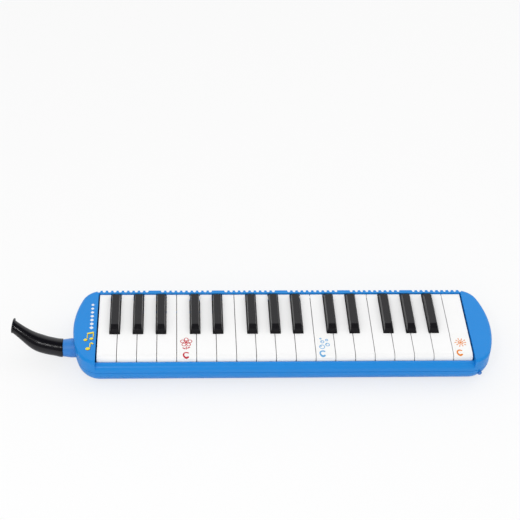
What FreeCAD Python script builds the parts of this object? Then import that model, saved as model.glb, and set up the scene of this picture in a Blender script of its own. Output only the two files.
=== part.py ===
import FreeCAD, Part
import math
import os

os.makedirs("parts", exist_ok=True)

Vec = FreeCAD.Vector

# Frame: millimetres, +Z up, the origin in the middle of the flat underside.
# +X runs along the keyboard towards the high notes and -Y faces the player.

# Body shell
HALF_DEPTH = 51.6
SIDE_RADIUS = 105.0
SIDE_CENTRE_X = 105.6
SIDE_CENTRE_Y = -1.0
FRONT_CORNER = 23.0
REAR_CORNER = 21.0
CASE_TOP = 34.2
RAIL_TOP = 28.3
UNDERSIDE_ROUND = 20.0
TOP_ROUND = 3.0
REAR_WALL_ROUND = 2.2
RAIL_ROUND = 5.2
WALL = 2.2
PARTING = 20.0
SEAM_DEPTH = 0.5
SEAM_HALF_WIDTH = 0.2
CLEAR = 0.3

# Keyboard opening
OPENING_HALF = 187.3
RAIL_INNER = -44.6
REAR_WALL_FACE = 46.0

# Toothed rear wall
TOOTH_PITCH = 5.45
TEETH_PER_GROUP = 9
TOOTH_GROUPS = 6
GROUP_PITCH = 65.1
GROOVE_RADIUS = 1.6
GROOVE_CENTRE = 49.3
SLOT_WIDTH = 1.4
SLOT_LOW = 23.0
SLOT_HIGH = 30.0

# White keys
WHITE_COUNT = 19
PITCH = 19.6
KEY_GAP = 0.6
KEY_FRONT = -43.8
KEY_REAR = 45.4
WHITE_TOP = 33.0
WHITE_BOTTOM = 22.5
WATERFALL = 6.0
PLATE = 2.0
SKIRT = 1.5
WHITE_EDGE = 0.4
WHITE_CORNER = 1.2
CORNER_LEAD = 0.1

# Black keys
BLACK_WIDTH = 9.4
BLACK_TOP_WIDTH = 7.1
BLACK_FRONT = -10.3
BLACK_BREAK = -8.3
BLACK_BREAK_TOP = 37.4
BLACK_TOP_FRONT = -3.0
BLACK_TOP = 39.4
BLACK_BOTTOM = 24.0
BLACK_FLAT_END = 39.3
BLACK_REAR_TOP = 33.5
BLACK_EDGE = 0.7
BLACK_OFFSET = {"f": -2.7, "g": 0.8, "a": 4.0, "c": -1.2, "d": 2.1}

# Key pivots and arms
AXLE_Y = 41.5
AXLE_Z = 26.0
AXLE_RADIUS = 1.5
RUNNING = 0.03
BLOCK_WIDTH = 6.0
BLOCK_FRONT = 36.2
BLOCK_BOTTOM = 21.0
ARM_WIDTH = 5.0
ARM_FRONT = 37.0
ARM_REAR = 40.0
ARM_BOTTOM = 10.0
PAD_WIDTH = 6.4
PAD_LOW = 10.8
PAD_HIGH = 16.6
PAD_REST_GAP = 0.05

# Key frame: bar and posts
BAR_FRONT = 41.3
BAR_REAR = 45.3
BAR_LOW = 14.0
BAR_HIGH = 20.0
POST_FRONT = 39.2
POST_REAR = 44.4
POST_TOP = 28.6
POST_LOW = 16.0
POST_WIDTH = 4.0
END_POST_INNER = 184.4
END_POST_OUTER = 186.6
RIB_WIDTH = 5.0
FRAME_SCREW_Y = 43.3
FRAME_HEAD_DEPTH = 5.0
FRAME_SCREW_SPARE = 1.5

# Key springs: one strip with a finger behind each arm
STRIP_THICK = 0.4
STRIP_LOW = 14.5
STRIP_HIGH = 19.5
STRIP_NOTCH_HALF = 2.4
STRIP_NOTCH_LOW = 15.5
FINGER_WIDTH = 3.0
FINGER_TIP_Y = 40.1
FINGER_TIP_Z = 10.6

# Reed assembly
ASSEMBLY_HALF = 186.0
ASSEMBLY_FRONT = -14.0
ASSEMBLY_REAR = 33.0
BLOCK_FACE = 34.0
TRAY_LOW = 2.6
TRAY_HIGH = 8.0
TRAY_WALL = 2.0
TRAY_FLOOR = 1.2
GASKET_HIGH = 8.6
PLATE_HIGH = 9.8
CELL_TOP = 15.6
REED_BLOCK_TOP = 17.0
CELL_WIDTH = 7.0
CELL_REAR = 32.0
CELL_MARGIN = 8.0
HOLE_WIDTH = 4.0
HOLE_LOW = 12.0
HOLE_HIGH = 15.2
REED_LONGEST = 30.0
REED_SHORTEST = 12.0
REED_TIP = 28.0
REED_WIDTH = 2.4
REED_THICK = 0.4
REED_ROOT = 3.0
REED_SLOT_PLAY = 0.3
PLATE_JOINT_HALF = 0.15
RIVET_RADIUS = 0.7
RIVET_HEAD = 1.1
RIVET_HEAD_HEIGHT = 0.3
FIT = 0.02

# Screws
ROW_FRONT = -10.5
ROW_REAR = 29.5
END_SCREW_X = 178.0
PILLAR_RADIUS = 2.0
SCREW_RADIUS = 1.0
SCREW_HEAD_RADIUS = 2.1
SCREW_HEAD_LOW = 0.1
SCREW_HEAD_HIGH = 1.1
SCREW_TOP = 14.0
CASE_SCREW_PLACES = ((-199.0, 20.0), (-193.0, -37.0), (199.0, 20.0), (200.5, -8.0))
CASE_SCREW_RADIUS = 1.3
CASE_HEAD_RADIUS = 2.9
CASE_HEAD_LOW = 8.0
CASE_HEAD_HIGH = 9.8
CASE_SCREW_TOP = 26.0
BOSS_RADIUS = 4.0
BOSS_JOIN = 12.0

# Down stop of the keys
SHELF_REAR = -33.0
SHELF_LOW = 14.0
SHELF_HIGH = 16.0
FELT_FRONT = -41.0
FELT_REAR = -35.0
FELT_HIGH = 17.5
FELT_HALF = 185.0
GUSSETS = 8
GUSSET_THICK = 1.8

# Blow pipe, seal and mouthpiece, all on one axis along X
PIPE_Y = -16.8
PIPE_Z = 20.0
PIPE_END = -198.0
PIPE_SHOULDER = -204.0
PIPE_WALL = -212.0
PIPE_TIP = -220.0
SPIGOT_END = -230.0
SPIGOT_RADIUS = 6.0
COLLAR_RADIUS = 9.55
TIP_RADIUS = 8.5
PIPE_BORE = 4.5
CASE_HOLE = 9.75
PIPE_SEAL_WALL = 2.2
PIPE_SEAL_LENGTH = 1.6
MOUTH_ROOT = -220.3
MOUTH_ROOT_RADIUS = 8.9
MOUTH_NECK_RADIUS = 5.85
MOUTH_NECK_START = 0.38
MOUTH_NECK_END = 1.0
MOUTH_BORE = 3.6
MOUTH_BORE_START = 0.2
MOUTH_BORE_END = 1.12
MOUTH_BARREL_END = 1.08
MOUTH_STATIONS = 14
MOUTH_LEAN = math.radians(42.3)
MOUTH_CURVE = ((-1.0, -0.3), (26.2, 4.0), (26.3, 5.4), (49.9, 22.4))
SOCKET_LENGTH = 10.2
SOCKET_PLAY = 0.05
LIP_TILT = math.radians(10.0)
LIP_RADIUS = 7.6
LIP_THICK = 2.0
LIP_ROUND = 0.9
LIP_OVERLAP = 0.3
RING_RADIUS = 7.0
RING_NEAR = -223.5
RING_FAR = -225.5

# Inlet tower in the left cap
TOWER_FAR = -199.0
TOWER_NEAR = -189.8
TOWER_HALF = 9.4
TOWER_LOW = 8.0
TOWER_HIGH = 29.4
TOWER_WALL = 1.4

# Ducts of the air chamber to the tower and to the drain tube: x, y and z limits
DUCTS = (
    (-193.0, -186.2, -18.0, -7.4, 3.2, 12.0),
    (-187.0, -185.0, -14.0, -7.4, 3.2, 8.0),
    (182.0, 188.4, -32.0, -11.0, 3.2, 8.0),
    (187.0, 191.6, -32.0, -27.2, 4.2, 12.0),
)
DUCT_HOLLOWS = (
    (-195.0, -189.0, -16.6, -8.8, 9.0, 10.6),
    (-191.6, -187.6, -16.6, -8.8, 4.6, 10.6),
    (-189.0, -181.0, -13.0, -8.8, 4.2, 7.2),
    (183.4, 187.0, -30.6, -10.0, 4.6, 6.6),
    (184.4, 190.2, -30.6, -28.6, 5.2, 6.6),
    (188.8, 190.2, -30.6, -28.6, 5.8, 15.0),
)

# Drain valve in the front right corner; distances run inwards from the wall
DRAIN_X = 194.0
DRAIN_Y = -49.0
DRAIN_Z = 15.0
DRAIN_ANGLE = math.radians(-78.0)
BUTTON_RADIUS = 2.2
BUTTON_ROUND = 0.8
BUTTON_OUT = -1.2
BUTTON_SHOULDER = 5.8
BUTTON_SHOULDER_END = 7.0
SHOULDER_RADIUS = 3.4
STEM_RADIUS = 1.5
STEM_END = 17.6
TUBE_START = 14.0
TUBE_SEAT = 16.0
TUBE_END = 24.0
TUBE_RADIUS = 4.5
TUBE_BORE = 3.8
SEAL_RADIUS = 3.0
SEAL_THICK = 1.0
SPRING_RADIUS = 2.8
SPRING_WIRE = 0.35
SPRING_PITCH = 1.9
SPRING_MARGIN = 0.5

# Note stickers
STICKER_THICK = 0.15
STICKER_HALF = 7.2
STICKER_FRONT = -43.0
STICKER_REAR = -11.2
STICKER_KEYS = {"c4": 4, "c5": 11, "c6": 18}


def box(x0, x1, y0, y1, z0, z1):
    """Box between two corners."""
    return Part.makeBox(x1 - x0, y1 - y0, z1 - z0, Vec(x0, y0, z0))


def rod(radius, start, end):
    """Round bar from one point to another."""
    way = end - start
    return Part.makeCylinder(radius, way.Length, start, way)


def post(radius, x, y, z0, z1):
    """Upright round bar."""
    return rod(radius, Vec(x, y, z0), Vec(x, y, z1))


def fuse(shapes):
    """One clean solid from overlapping shapes."""
    return shapes[0].multiFuse(shapes[1:]).removeSplitter()


def save(name, shape):
    """Write one named piece."""
    shape.exportStep("parts/" + name + ".step")
    print(name, len(shape.Solids), "solids", "valid" if shape.isValid() else "NOT VALID")


# ---------------------------------------------------------------- body shell

def arc(cx, cy, radius, start, end, z):
    """Arc in plan about a centre."""
    points = []
    for angle in (start, (start + end) / 2, end):
        points.append(Vec(cx + radius * math.cos(angle), cy + radius * math.sin(angle), z))
    return Part.Arc(*points).toShape()


def corner_centre(radius, side):
    """Centre of a corner arc that runs smoothly into the side arc."""
    y = side * (HALF_DEPTH - radius)
    x = SIDE_CENTRE_X + math.sqrt((SIDE_RADIUS - radius) ** 2 - (y - SIDE_CENTRE_Y) ** 2)
    return x, y, math.atan2(y - SIDE_CENTRE_Y, x - SIDE_CENTRE_X)


def outline(inset, z):
    """Plan outline of the body, moved inwards by the inset."""
    fx, fy, front_turn = corner_centre(FRONT_CORNER, -1)
    rx, ry, rear_turn = corner_centre(REAR_CORNER, 1)
    front = FRONT_CORNER - inset
    rear = REAR_CORNER - inset
    side = SIDE_RADIUS - inset
    half = HALF_DEPTH - inset
    quarter = math.pi / 2
    edges = [
        Part.makeLine(Vec(-fx, -half, z), Vec(fx, -half, z)),
        arc(fx, fy, front, -quarter, front_turn, z),
        arc(SIDE_CENTRE_X, SIDE_CENTRE_Y, side, front_turn, rear_turn, z),
        arc(rx, ry, rear, rear_turn, quarter, z),
        Part.makeLine(Vec(rx, half, z), Vec(-rx, half, z)),
        arc(-rx, ry, rear, quarter, math.pi - rear_turn, z),
        arc(-SIDE_CENTRE_X, SIDE_CENTRE_Y, side, math.pi - rear_turn, math.pi - front_turn, z),
        arc(-fx, fy, front, math.pi - front_turn, math.pi + quarter, z),
    ]
    return Part.Wire(edges)


def slab(inset, low, high):
    """Straight-walled block with the body's outline."""
    return Part.Face(outline(inset, low)).extrude(Vec(0, 0, high - low))


def level_edges(shape, z):
    """Edges that lie at one height."""
    return [e for e in shape.Edges if abs(e.BoundBox.ZMin - z) < 1e-4 and abs(e.BoundBox.ZMax - z) < 1e-4]


def blank(inset, low, high, low_round, high_round):
    """Body-shaped block, rounded below and above."""
    shape = slab(inset, low, high)
    shape = shape.makeFillet(low_round, level_edges(shape, low))
    return shape.makeFillet(high_round, level_edges(shape, high))


def above_parting():
    return box(-300, 300, -100, 100, PARTING, 60)


def below_parting():
    return box(-300, 300, -100, 100, -10, PARTING)


def seam_groove():
    """Fine groove where the two halves meet."""
    low = PARTING - SEAM_HALF_WIDTH
    high = PARTING + SEAM_HALF_WIDTH
    return slab(0, low, high).cut(slab(SEAM_DEPTH, low, high))


def pipe_hole():
    """Hole for the blow pipe, half in each case half."""
    return rod(CASE_HOLE, Vec(-240, PIPE_Y, PIPE_Z), Vec(PIPE_SHOULDER + 2, PIPE_Y, PIPE_Z))


def tooth_grooves():
    """Grooves and sound slots of the rear wall."""
    grooves = []
    slots = []
    for group in range(TOOTH_GROUPS):
        middle = (group - (TOOTH_GROUPS - 1) / 2) * GROUP_PITCH
        for valley in range(TEETH_PER_GROUP + 1):
            x = middle + (valley - TEETH_PER_GROUP / 2) * TOOTH_PITCH
            low = PARTING - 1
            high = CASE_TOP + 1
            floor = post(GROOVE_RADIUS, x, GROOVE_CENTRE, low, high)
            sides = box(x - GROOVE_RADIUS, x + GROOVE_RADIUS, GROOVE_CENTRE, HALF_DEPTH + 1, low, high)
            grooves.append(floor.fuse(sides))
            if abs(x) < OPENING_HALF - SLOT_WIDTH:
                half = SLOT_WIDTH / 2
                slots.append(box(x - half, x + half, REAR_WALL_FACE - 1, GROOVE_CENTRE, SLOT_LOW, SLOT_HIGH))
    return grooves + slots


def case_boss(place):
    """Upright boss of the upper case that takes a case screw."""
    x, y = place
    return post(BOSS_RADIUS, x, y, BOSS_JOIN, CASE_TOP - WALL)


def upper_case():
    """Upper half: end caps, low front rail and toothed rear wall round the keyboard opening."""
    full = blank(0, 0, CASE_TOP, UNDERSIDE_ROUND, TOP_ROUND).common(above_parting())
    low = blank(0, 0, RAIL_TOP, UNDERSIDE_ROUND, RAIL_ROUND).common(above_parting())
    rail_zone = box(-OPENING_HALF, OPENING_HALF, -60, -40, PARTING, 60)
    wall_zone = box(-OPENING_HALF, OPENING_HALF, REAR_WALL_FACE - 1, 60, PARTING, 60)
    wall = blank(0, 0, CASE_TOP, UNDERSIDE_ROUND, REAR_WALL_ROUND).common(wall_zone)
    shell = fuse([full.cut(rail_zone), low.common(rail_zone), wall])
    inner = blank(WALL, WALL, CASE_TOP - WALL, UNDERSIDE_ROUND - WALL, TOP_ROUND - WALL).common(above_parting())
    cheek = OPENING_HALF + WALL
    caps = inner.cut(box(-cheek, cheek, -60, 60, 0, 60))
    well = box(-OPENING_HALF, OPENING_HALF, -HALF_DEPTH + WALL, REAR_WALL_FACE, 0, RAIL_TOP - WALL)
    mouth = box(-OPENING_HALF, OPENING_HALF, RAIL_INNER, REAR_WALL_FACE, 0, 60)
    shell = shell.cut([caps, well, mouth, pipe_hole(), seam_groove()])
    shell = shell.cut(tooth_grooves())
    shell = fuse([shell] + [case_boss(place) for place in CASE_SCREW_PLACES])
    holes = [post(CASE_SCREW_RADIUS + FIT, x, y, 0, CASE_SCREW_TOP + 1) for x, y in CASE_SCREW_PLACES]
    return shell.cut(holes)


def shelf():
    """Shelf behind the front wall that carries the keys' felt, with its web and gussets."""
    parts = [
        box(-ASSEMBLY_HALF, ASSEMBLY_HALF, -HALF_DEPTH, SHELF_REAR, SHELF_LOW, SHELF_HIGH),
        box(-ASSEMBLY_HALF, ASSEMBLY_HALF, SHELF_REAR - WALL, SHELF_REAR, WALL / 2, SHELF_LOW + 1),
    ]
    step = 2 * ASSEMBLY_HALF / (GUSSETS + 1)
    for number in range(GUSSETS):
        x = -ASSEMBLY_HALF + (number + 1) * step
        half = GUSSET_THICK / 2
        parts.append(box(x - half, x + half, -HALF_DEPTH, SHELF_REAR, WALL / 2, SHELF_LOW + 1))
    return parts


def drain_point(distance):
    """Point on the drain valve's axis, so far inwards from the wall."""
    inwards = Vec(-math.cos(DRAIN_ANGLE), -math.sin(DRAIN_ANGLE), 0)
    return Vec(DRAIN_X, DRAIN_Y, DRAIN_Z) + inwards * distance


def lower_case():
    """Lower half: rounded tray with the shelf, the frame's ribs and the screw bosses."""
    outer = blank(0, 0, CASE_TOP, UNDERSIDE_ROUND, TOP_ROUND).common(below_parting())
    inner = blank(WALL, WALL, CASE_TOP - WALL, UNDERSIDE_ROUND - WALL, TOP_ROUND - WALL)
    shell = outer.cut(inner)
    inside = list(shelf())
    for x in post_places():
        half = RIB_WIDTH / 2
        inside.append(box(x - half, x + half, BAR_FRONT, HALF_DEPTH, 0, BAR_LOW))
    for x, y in CASE_SCREW_PLACES:
        inside.append(post(BOSS_RADIUS, x, y, 0, BOSS_JOIN - FIT))
    shell = fuse([shell] + [piece.common(outer) for piece in inside])
    holes = [pipe_hole(), seam_groove(), rod(BUTTON_RADIUS + CLEAR, drain_point(-8), drain_point(BUTTON_SHOULDER))]
    for x, y in CASE_SCREW_PLACES:
        holes.append(post(CASE_SCREW_RADIUS + CLEAR, x, y, 0, BOSS_JOIN + 1))
        holes.append(post(CASE_HEAD_RADIUS + CLEAR, x, y, -1, CASE_HEAD_HIGH))
    for x, y in chamber_screw_places():
        holes.append(post(SCREW_RADIUS + CLEAR / 2, x, y, -1, WALL + 1))
        holes.append(post(SCREW_HEAD_RADIUS + CLEAR / 2, x, y, -1, SCREW_HEAD_HIGH))
    for x in post_places():
        holes.append(post(SCREW_RADIUS + CLEAR / 2, x, FRAME_SCREW_Y, -1, BAR_LOW + 1))
        holes.append(post(SCREW_HEAD_RADIUS + CLEAR / 2, x, FRAME_SCREW_Y, -1, frame_head_top()))
    return shell.cut(holes)


# ---------------------------------------------------------------- keyboard layout

def white_letter(index):
    return "fgabcde"[index % 7]


def white_name(index):
    return white_letter(index) + str(3 + (index + 3) // 7)


def slot_left(index):
    """Left edge of a white key's slot."""
    return (index - WHITE_COUNT / 2) * PITCH


def black_middle(index):
    """Middle of the black key between this white key and the next, or None."""
    if index < 0 or index >= WHITE_COUNT - 1 or white_letter(index) not in BLACK_OFFSET:
        return None
    return slot_left(index + 1) + BLACK_OFFSET[white_letter(index)]


def white_rear(index):
    """Left and right edge of a white key's rear part, beside the black keys."""
    notch = BLACK_WIDTH / 2 + KEY_GAP
    before = black_middle(index - 1)
    after = black_middle(index)
    left = slot_left(index) + KEY_GAP / 2 if before is None else before + notch
    right = slot_left(index + 1) - KEY_GAP / 2 if after is None else after - notch
    return left, right


def keyboard():
    """All keys in pitch order: name, white index or None, middle of the rear part."""
    keys = []
    for index in range(WHITE_COUNT):
        left, right = white_rear(index)
        keys.append(("key_" + white_name(index), index, (left + right) / 2))
        middle = black_middle(index)
        if middle is not None:
            keys.append(("key_" + white_name(index) + "_sharp", None, middle))
    return keys


def post_places():
    """Posts stand where two white keys meet with no black key between them."""
    keys = keyboard()
    places = []
    for one, other in zip(keys, keys[1:]):
        if one[1] is not None and other[1] is not None:
            places.append((one[2] + other[2]) / 2)
    return places


def chamber_screw_places():
    """Front row and rear row of the screws that hold the reed assembly."""
    places = [(x, ROW_REAR) for x in post_places()]
    for x in [-END_SCREW_X] + post_places()[:-1] + [END_SCREW_X]:
        places.append((x, ROW_FRONT))
    return places


# ---------------------------------------------------------------- keys

def key_side(front, top, radius, rear, bottom):
    """Side view of a white key, with the rounded front edge, drawn out along the keyboard."""
    x = -300
    lean = radius * (1 - math.sqrt(0.5))
    a = Vec(x, front, bottom)
    b = Vec(x, front, top - radius)
    middle = Vec(x, front + lean, top - lean)
    c = Vec(x, front + radius, top)
    d = Vec(x, rear, top)
    e = Vec(x, rear, bottom)
    edges = [
        Part.makeLine(a, b),
        Part.Arc(b, middle, c).toShape(),
        Part.makeLine(c, d),
        Part.makeLine(d, e),
        Part.makeLine(e, a),
    ]
    return Part.Face(Part.Wire(edges)).extrude(Vec(600, 0, 0))


def white_plan(index, inset, low, high):
    """Plan of a white key as a block, moved inwards by the inset."""
    left = slot_left(index) + KEY_GAP / 2 + inset
    right = slot_left(index + 1) - KEY_GAP / 2 - inset
    rear_left, rear_right = white_rear(index)
    notch = BLACK_FRONT - KEY_GAP - inset
    front_part = box(left, right, KEY_FRONT - CORNER_LEAD, notch, low, high)
    corners = [e for e in front_part.Edges if e.BoundBox.ZLength > WHITE_CORNER and e.BoundBox.YMax < KEY_FRONT + 1]
    front_part = front_part.makeFillet(WHITE_CORNER, corners)
    rear_part = box(rear_left + inset, rear_right - inset, notch - 1, KEY_REAR + 1, low, high)
    return front_part.fuse(rear_part).removeSplitter()


def pivot(middle):
    """Pivot block and arm under the rear end of a key."""
    half = BLOCK_WIDTH / 2
    block = box(middle - half, middle + half, BLOCK_FRONT, KEY_REAR, BLOCK_BOTTOM, WHITE_TOP - PLATE / 2)
    half = ARM_WIDTH / 2
    arm = box(middle - half, middle + half, ARM_FRONT, ARM_REAR, ARM_BOTTOM, BLOCK_BOTTOM + 1)
    return [block, arm]


def pivot_bore():
    return rod(AXLE_RADIUS + RUNNING, Vec(-300, AXLE_Y, AXLE_Z), Vec(300, AXLE_Y, AXLE_Z))


def rear_relief():
    """Space under the rear plate of every key for the posts and the axle."""
    return box(-300, 300, BLOCK_FRONT, KEY_REAR + 5, 0, WHITE_TOP - PLATE)


def pad(middle):
    """Felt pad on the arm that closes the tone hole."""
    half = PAD_WIDTH / 2
    return box(middle - half, middle + half, BLOCK_FACE + PAD_REST_GAP, ARM_FRONT, PAD_LOW, PAD_HIGH)


def white_key(index, middle):
    """Hollow white key with its pivot, arm and pad."""
    side = key_side(KEY_FRONT, WHITE_TOP, WATERFALL, KEY_REAR, WHITE_BOTTOM)
    body = white_plan(index, 0, WHITE_BOTTOM, WHITE_TOP + 1).common(side)
    top = [e for e in level_edges(body, WHITE_TOP) if e.BoundBox.YMin > KEY_FRONT + WATERFALL + 1e-3
           or e.BoundBox.YLength > 1e-3]
    body = body.makeFillet(WHITE_EDGE, top)
    inner_side = key_side(KEY_FRONT + SKIRT, WHITE_TOP - PLATE, WATERFALL - PLATE, KEY_REAR, 0)
    hollow = white_plan(index, SKIRT, 0, WHITE_TOP).common(inner_side)
    body = body.cut([hollow, rear_relief()])
    body = fuse([body] + pivot(middle)).cut(pivot_bore())
    return Part.makeCompound([body.Solids[0], pad(middle)])


def drawn(points, way):
    """Flat polygon drawn out into a prism."""
    return Part.Face(Part.makePolygon(points + points[:1])).extrude(way)


def black_body(middle, inset, top_inset, bottom):
    """Black key with tapered sides and a front that leans back in two steps, moved inwards by the insets."""
    top = BLACK_TOP - top_inset
    front = BLACK_FRONT + inset
    side = [
        Vec(-300, front, bottom),
        Vec(-300, front, WHITE_TOP),
        Vec(-300, BLACK_BREAK + inset, BLACK_BREAK_TOP - top_inset / 2),
        Vec(-300, BLACK_TOP_FRONT + inset / 2, top),
        Vec(-300, BLACK_FLAT_END - top_inset / 2, top),
        Vec(-300, KEY_REAR, BLACK_REAR_TOP - top_inset),
        Vec(-300, KEY_REAR, bottom),
    ]
    low = BLACK_WIDTH / 2 - inset
    high = BLACK_TOP_WIDTH / 2 - inset
    end = [
        Vec(middle - low, -60, bottom),
        Vec(middle + low, -60, bottom),
        Vec(middle + low, -60, WHITE_TOP),
        Vec(middle + high, -60, top),
        Vec(middle - high, -60, top),
        Vec(middle - low, -60, WHITE_TOP),
    ]
    return drawn(side, Vec(600, 0, 0)).common(drawn(end, Vec(0, 120, 0)))


def black_key(middle):
    """Hollow black key with its pivot, arm and pad."""
    body = black_body(middle, 0, 0, BLACK_BOTTOM)
    rounded = [e for e in body.Edges if e.BoundBox.ZMin > WHITE_TOP + 1e-3 or e.BoundBox.ZMax > BLACK_TOP - 1e-3]
    rounded = [e for e in rounded if e.BoundBox.YMax < KEY_REAR - 1e-3 and e.BoundBox.YMin < BLACK_FLAT_END - 1e-3]
    body = body.makeFillet(BLACK_EDGE, rounded)
    body = body.cut([black_body(middle, SKIRT, PLATE, 0), rear_relief()])
    body = fuse([body] + pivot(middle)).cut(pivot_bore())
    return Part.makeCompound([body.Solids[0], pad(middle)])


def note_sticker(index):
    """Thin film that follows the top and the rounded front of a white key."""
    film = key_side(KEY_FRONT - STICKER_THICK, WHITE_TOP + STICKER_THICK, WATERFALL + STICKER_THICK, KEY_REAR, 20)
    key = key_side(KEY_FRONT, WHITE_TOP, WATERFALL, KEY_REAR + 1, 10)
    middle = slot_left(index) + PITCH / 2
    window = box(middle - STICKER_HALF, middle + STICKER_HALF, STICKER_FRONT, STICKER_REAR, WHITE_TOP - WATERFALL, 60)
    return film.cut(key).common(window)


# ---------------------------------------------------------------- key action

def key_axle():
    return rod(AXLE_RADIUS, Vec(-END_POST_OUTER, AXLE_Y, AXLE_Z), Vec(END_POST_OUTER, AXLE_Y, AXLE_Z))


def frame_head_top():
    """Top of the head recess of the frame's screws."""
    return BAR_LOW - FRAME_HEAD_DEPTH


def key_frame():
    """Bar with posts that carry the axle."""
    parts = [box(-END_POST_OUTER, END_POST_OUTER, BAR_FRONT, BAR_REAR, BAR_LOW, BAR_HIGH)]
    half = POST_WIDTH / 2
    for x in post_places():
        parts.append(box(x - half, x + half, POST_FRONT, POST_REAR, POST_LOW, POST_TOP))
    parts.append(box(-END_POST_OUTER, -END_POST_INNER, POST_FRONT, POST_REAR, BAR_LOW, POST_TOP))
    parts.append(box(END_POST_INNER, END_POST_OUTER, POST_FRONT, POST_REAR, BAR_LOW, POST_TOP))
    holes = [rod(AXLE_RADIUS + FIT, Vec(-300, AXLE_Y, AXLE_Z), Vec(300, AXLE_Y, AXLE_Z))]
    for x in post_places():
        holes.append(post(SCREW_RADIUS + FIT, x, FRAME_SCREW_Y, 0, BAR_HIGH - 1))
    return fuse(parts).cut(holes)


def screw(x, y, head_low, head_high, top, head_radius, radius):
    """Pan-head screw, head down."""
    head = post(head_radius, x, y, head_low, head_high)
    drive = box(x - radius, x + radius, y - radius / 4, y + radius / 4, head_low, head_low + radius / 2)
    return fuse([head, post(radius, x, y, head_high, top)]).cut(drive)


def key_frame_screws():
    screws = []
    for x in post_places():
        low = frame_head_top() - SCREW_HEAD_HIGH + SCREW_HEAD_LOW
        top = BAR_HIGH - FRAME_SCREW_SPARE
        screws.append(screw(x, FRAME_SCREW_Y, low, frame_head_top(), top, SCREW_HEAD_RADIUS, SCREW_RADIUS))
    return Part.makeCompound(screws)


def key_springs():
    """Leaf-spring comb: a strip on the bar with one finger behind each arm."""
    face = BAR_FRONT - STRIP_THICK
    strip = box(-END_POST_INNER, END_POST_INNER, face, BAR_FRONT, STRIP_LOW, STRIP_HIGH)
    gaps = []
    for x in post_places():
        half = STRIP_NOTCH_HALF
        gaps.append(box(x - half, x + half, face - 1, BAR_FRONT + 1, STRIP_NOTCH_LOW, STRIP_HIGH + 1))
    root = STRIP_LOW + STRIP_THICK / 4
    fingers = []
    for name, index, middle in keyboard():
        left = middle - FINGER_WIDTH / 2
        side = [
            Vec(left, BAR_FRONT, root),
            Vec(left, face, root),
            Vec(left, FINGER_TIP_Y, FINGER_TIP_Z),
            Vec(left, FINGER_TIP_Y + STRIP_THICK, FINGER_TIP_Z),
        ]
        fingers.append(drawn(side, Vec(FINGER_WIDTH, 0, 0)))
    return fuse([strip.cut(gaps)] + fingers)


def key_rest_felt():
    return box(-FELT_HALF, FELT_HALF, FELT_FRONT, FELT_REAR, SHELF_HIGH, FELT_HIGH)


# ---------------------------------------------------------------- reed assembly

def reed_length(number, count):
    """Reeds shorten evenly in ratio from the lowest note to the highest."""
    return REED_LONGEST * (REED_SHORTEST / REED_LONGEST) ** (number / (count - 1))


def reed_block():
    """Block with one cell and one tone hole for each note."""
    keys = keyboard()
    block = box(-ASSEMBLY_HALF, ASSEMBLY_HALF, ASSEMBLY_FRONT, BLOCK_FACE, PLATE_HIGH, REED_BLOCK_TOP)
    cuts = []
    for number, (name, index, middle) in enumerate(keys):
        length = reed_length(number, len(keys))
        half = CELL_WIDTH / 2
        front = CELL_REAR - length - CELL_MARGIN
        cuts.append(box(middle - half, middle + half, front, CELL_REAR, 0, CELL_TOP))
        half = HOLE_WIDTH / 2
        cuts.append(box(middle - half, middle + half, CELL_REAR - 1, BLOCK_FACE + 1, HOLE_LOW, HOLE_HIGH))
    for x, y in chamber_screw_places():
        cuts.append(post(SCREW_RADIUS + FIT, x, y, 0, SCREW_TOP + 1))
    return block.cut(cuts)


def rivet_place(number, middle):
    length = reed_length(number, len(keyboard()))
    return middle, REED_TIP - length + REED_ROOT / 2


def reed_plate(low, high):
    """Brass plate over one half of the chamber, slotted under each reed."""
    keys = keyboard()
    plate = box(low, high, ASSEMBLY_FRONT, ASSEMBLY_REAR, GASKET_HIGH, PLATE_HIGH)
    cuts = []
    for number, (name, index, middle) in enumerate(keys):
        length = reed_length(number, len(keys))
        half = REED_WIDTH / 2 + REED_SLOT_PLAY
        front = REED_TIP - length + REED_ROOT
        cuts.append(box(middle - half, middle + half, front, REED_TIP + REED_SLOT_PLAY, 0, PLATE_HIGH + 1))
        x, y = rivet_place(number, middle)
        cuts.append(post(RIVET_RADIUS + FIT, x, y, 0, PLATE_HIGH + 1))
    for x, y in chamber_screw_places():
        cuts.append(post(SCREW_RADIUS + FIT, x, y, 0, PLATE_HIGH + 1))
    return plate.cut(cuts)


def reeds():
    """Brass tongues under the plates, each free at its rear end."""
    keys = keyboard()
    tongues = []
    for number, (name, index, middle) in enumerate(keys):
        length = reed_length(number, len(keys))
        half = REED_WIDTH / 2
        tongue = box(middle - half, middle + half, REED_TIP - length, REED_TIP, GASKET_HIGH - REED_THICK, GASKET_HIGH)
        x, y = rivet_place(number, middle)
        tongues.append(tongue.cut(post(RIVET_RADIUS + FIT, x, y, 0, PLATE_HIGH)))
    return Part.makeCompound(tongues)


def reed_rivets():
    rivets = []
    for number, (name, index, middle) in enumerate(keyboard()):
        x, y = rivet_place(number, middle)
        under = GASKET_HIGH - REED_THICK
        shank = post(RIVET_RADIUS, x, y, under, PLATE_HIGH)
        foot = post(RIVET_HEAD, x, y, under - RIVET_HEAD_HEIGHT, under)
        head = post(RIVET_HEAD, x, y, PLATE_HIGH, PLATE_HIGH + RIVET_HEAD_HEIGHT)
        rivets.append(fuse([shank, foot, head]))
    return Part.makeCompound(rivets)


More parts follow.
